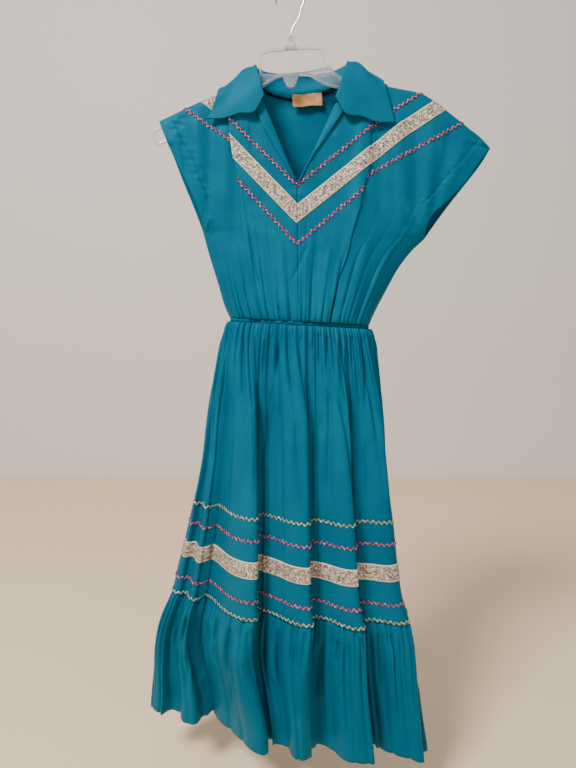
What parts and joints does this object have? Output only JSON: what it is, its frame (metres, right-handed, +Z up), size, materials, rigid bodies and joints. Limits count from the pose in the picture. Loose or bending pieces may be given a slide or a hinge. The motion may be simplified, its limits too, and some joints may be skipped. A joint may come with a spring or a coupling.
{
  "type": "fiesta dress on a clothes hanger",
  "caption": "Short-sleeved cotton fiesta dress with a V neck, wing collar, gathered skirt, flounce and ric-rac and brocade trims, hung on a clear plastic hanger with a metal hook.",
  "frame": {"origin": "inner crown of the hanger's hook, the point that a rail carries", "axes": "+Z up towards the rail, +X to the right as seen from the front, the dress faces -Y"},
  "size_m": [0.5711, 0.1925, 1.2416],
  "materials": {
    "cotton": "polished cotton with a slight sheen",
    "pink_ricrac": "matt ric-rac braid",
    "gold_ricrac": "metallic ric-rac braid",
    "brocade": "woven band with metallic threads",
    "label": "blank woven tab, frayed",
    "hanger": "clear moulded plastic",
    "hook_wire": "bright wire"
  },
  "bodies": {
    "root": {"skirt_front": "cotton", "skirt_back": "cotton", "flounce_front": "cotton", "flounce_back": "cotton", "skirt_ricrac_gold_upper": "gold_ricrac", "skirt_ricrac_pink_upper": "pink_ricrac", "skirt_brocade": "brocade", "skirt_ricrac_pink_lower": "pink_ricrac", "skirt_ricrac_gold_lower": "gold_ricrac", "waist_seam": "cotton", "bodice_front_left": "cotton", "bodice_front_right": "cotton", "bodice_back": "cotton", "bodice_ricrac_pink_upper_left": "pink_ricrac", "bodice_ricrac_pink_upper_back": "pink_ricrac", "bodice_ricrac_pink_upper_right": "pink_ricrac", "bodice_brocade_left": "brocade", "bodice_brocade_back": "brocade", "bodice_brocade_left_sleeve": "brocade", "bodice_brocade_right": "brocade", "bodice_ricrac_pink_lower_left": "pink_ricrac", "bodice_ricrac_pink_lower_back": "pink_ricrac", "bodice_ricrac_pink_lower_left_sleeve": "pink_ricrac", "bodice_ricrac_pink_lower_right": "pink_ricrac", "bodice_ricrac_pink_lower_right_sleeve": "pink_ricrac", "collar": "cotton", "facing": "cotton", "label": "label", "hanger": "hanger", "hook": "hook_wire"}
  },
  "joints": []
}
